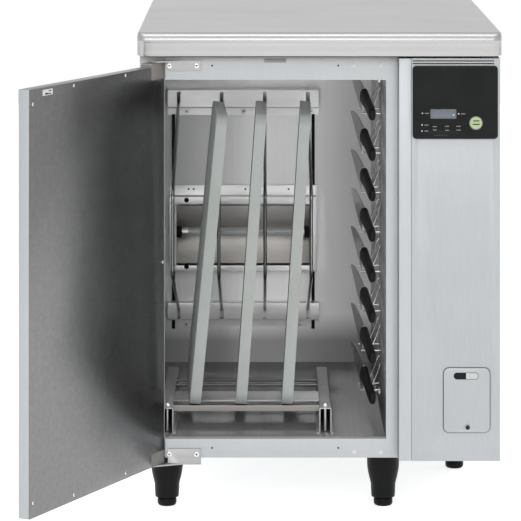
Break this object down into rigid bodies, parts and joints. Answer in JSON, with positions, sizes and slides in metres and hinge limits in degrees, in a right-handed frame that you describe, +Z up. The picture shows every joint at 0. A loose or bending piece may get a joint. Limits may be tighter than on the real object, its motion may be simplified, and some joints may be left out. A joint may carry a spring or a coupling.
{
  "type": "knife sterilizer cabinet",
  "caption": "Counter-height stainless cabinet with a hinged door, ultraviolet lamp, wire racks for knives and cutting boards, and a control side.",
  "frame": {"origin": "middle of the sole of the front left adjustable foot, on the floor", "axes": "+Z up to the worktop, +Y from the front to the back, +X to the right as seen from the front"},
  "size_m": [0.7673, 1.0944, 0.803],
  "materials": {
    "worktop_steel": "fine brushed stainless, satin",
    "casing_steel": "pale blue-grey coated sheet, satin",
    "liner_steel": "brushed stainless, half bright",
    "rack_steel": "polished stainless",
    "hinge_steel": "satin stainless",
    "foam": "rigid insulating foam",
    "timber": "plain board",
    "panel_black": "black moulded panel, low gloss",
    "lcd": "grey liquid crystal window",
    "key_plastic": "dark keys",
    "button_green": "pale green button",
    "circuit": "circuit board",
    "grey_plastic": "grey moulded plastic",
    "black_plastic": "black moulded plastic",
    "lamp_glass": "quartz tube",
    "board_plastic": "grey-green polyethylene",
    "blade_steel": "ground steel blade with black handle"
  },
  "bodies": {
    "cabinet": {"worktop": "worktop_steel", "outer_casing": "casing_steel", "front_frame": "casing_steel", "machine_casing": "casing_steel", "pillar": "casing_steel", "front_panel": "casing_steel", "inner_liner": "liner_steel", "lamp_frame": "liner_steel", "divider_rack": "rack_steel", "board_rack": "rack_steel", "knife_rack": "rack_steel", "lamp_reflector": "rack_steel", "hinge_bracket_top": "hinge_steel", "hinge_bracket_bottom": "hinge_steel", "insulation": "foam", "worktop_core": "timber", "control_panel": "panel_black", "display": "lcd", "control_board": "circuit", "switch_box": "grey_plastic", "fan_housing": "grey_plastic", "lamp_ballast": "grey_plastic", "door_switch": "grey_plastic", "lamp_socket_left": "black_plastic", "lamp_socket_right": "black_plastic", "leg_1": "black_plastic", "leg_2": "black_plastic", "leg_3": "black_plastic", "leg_4": "black_plastic", "leg_5": "black_plastic", "uv_lamp": "lamp_glass"},
    "door": {"door_skin": "casing_steel", "door_liner": "liner_steel", "door_core": "foam", "door_grip": "grey_plastic", "door_cap_top": "grey_plastic", "door_cap_bottom": "grey_plastic"},
    "power_cover": {"power_cover": "casing_steel"},
    "power_switch": {"power_switch": "black_plastic"},
    "start_button": {"start_button": "button_green"},
    "fan_wheel": {"fan_wheel": "black_plastic"},
    "key_1": {"key_1": "key_plastic"},
    "key_2": {"key_2": "key_plastic"},
    "key_3": {"key_3": "key_plastic"},
    "adjuster_1": {"adjuster_1": "black_plastic"},
    "adjuster_2": {"adjuster_2": "black_plastic"},
    "adjuster_3": {"adjuster_3": "black_plastic"},
    "adjuster_4": {"adjuster_4": "black_plastic"},
    "adjuster_5": {"adjuster_5": "black_plastic"},
    "board_1": {"board_1": "board_plastic"},
    "board_2": {"board_2": "board_plastic"},
    "board_3": {"board_3": "board_plastic"},
    "knife_1": {"knife_1": "blade_steel"},
    "knife_2": {"knife_2": "blade_steel"},
    "knife_3": {"knife_3": "blade_steel"},
    "knife_4": {"knife_4": "blade_steel"},
    "knife_5": {"knife_5": "blade_steel"},
    "knife_6": {"knife_6": "blade_steel"},
    "knife_7": {"knife_7": "blade_steel"},
    "knife_8": {"knife_8": "blade_steel"}
  },
  "joints": [
    {"name": "door_hinge", "type": "hinge", "parent": "cabinet", "child": "door", "pos_m": [-0.021, -0.098, 0.42], "axis": [0, 0, 1], "range_deg": [0, 117]},
    {"name": "power_cover_hinge", "type": "hinge", "parent": "cabinet", "child": "power_cover", "pos_m": [0.496, -0.1098, 0.251], "axis": [-1, 0, 0], "range_deg": [0, 100]},
    {"name": "power_switch_rock", "type": "hinge", "parent": "cabinet", "child": "power_switch", "pos_m": [0.496, -0.0855, 0.198], "axis": [1, 0, 0], "range_deg": [0, 24]},
    {"name": "start_button_press", "type": "slide", "parent": "cabinet", "child": "start_button", "axis": [0, 1, 0], "range_m": [0, 0.0015], "stiffness_N_per_m": 300},
    {"name": "key_1_press", "type": "slide", "parent": "cabinet", "child": "key_1", "axis": [0, 1, 0], "range_m": [0, 0.001], "stiffness_N_per_m": 300},
    {"name": "key_2_press", "type": "slide", "parent": "cabinet", "child": "key_2", "axis": [0, 1, 0], "range_m": [0, 0.001], "stiffness_N_per_m": 300},
    {"name": "key_3_press", "type": "slide", "parent": "cabinet", "child": "key_3", "axis": [0, 1, 0], "range_m": [0, 0.001], "stiffness_N_per_m": 300},
    {"name": "fan_spin", "type": "hinge", "parent": "cabinet", "child": "fan_wheel", "pos_m": [0.405, 0.317, 0.43], "axis": [1, 0, 0], "continuous": true},
    {"name": "adjuster_1_screw", "type": "slide", "parent": "cabinet", "child": "adjuster_1", "axis": [0, 0, 1], "range_m": [-0.02, 0]},
    {"name": "adjuster_2_screw", "type": "slide", "parent": "cabinet", "child": "adjuster_2", "axis": [0, 0, 1], "range_m": [-0.02, 0]},
    {"name": "adjuster_3_screw", "type": "slide", "parent": "cabinet", "child": "adjuster_3", "axis": [0, 0, 1], "range_m": [-0.02, 0]},
    {"name": "adjuster_4_screw", "type": "slide", "parent": "cabinet", "child": "adjuster_4", "axis": [0, 0, 1], "range_m": [-0.02, 0]},
    {"name": "adjuster_5_screw", "type": "slide", "parent": "cabinet", "child": "adjuster_5", "axis": [0, 0, 1], "range_m": [-0.02, 0]},
    {"name": "board_1_out", "type": "slide", "parent": "cabinet", "child": "board_1", "axis": [0, 1, 0], "range_m": [-0.37, 0]},
    {"name": "board_2_out", "type": "slide", "parent": "cabinet", "child": "board_2", "axis": [0, 1, 0], "range_m": [-0.37, 0]},
    {"name": "board_3_out", "type": "slide", "parent": "cabinet", "child": "board_3", "axis": [0, 1, 0], "range_m": [-0.37, 0]},
    {"name": "knife_1_out", "type": "slide", "parent": "cabinet", "child": "knife_1", "axis": [-0.0931, 0.9854, 0.1426], "range_m": [-0.37, 0]},
    {"name": "knife_2_out", "type": "slide", "parent": "cabinet", "child": "knife_2", "axis": [-0.0931, 0.9854, 0.1426], "range_m": [-0.37, 0]},
    {"name": "knife_3_out", "type": "slide", "parent": "cabinet", "child": "knife_3", "axis": [-0.0931, 0.9854, 0.1426], "range_m": [-0.37, 0]},
    {"name": "knife_4_out", "type": "slide", "parent": "cabinet", "child": "knife_4", "axis": [-0.0931, 0.9854, 0.1426], "range_m": [-0.37, 0]},
    {"name": "knife_5_out", "type": "slide", "parent": "cabinet", "child": "knife_5", "axis": [-0.0931, 0.9854, 0.1426], "range_m": [-0.37, 0]},
    {"name": "knife_6_out", "type": "slide", "parent": "cabinet", "child": "knife_6", "axis": [-0.0931, 0.9854, 0.1426], "range_m": [-0.37, 0]},
    {"name": "knife_7_out", "type": "slide", "parent": "cabinet", "child": "knife_7", "axis": [-0.0931, 0.9854, 0.1426], "range_m": [-0.37, 0]},
    {"name": "knife_8_out", "type": "slide", "parent": "cabinet", "child": "knife_8", "axis": [-0.0931, 0.9854, 0.1426], "range_m": [-0.37, 0]}
  ]
}
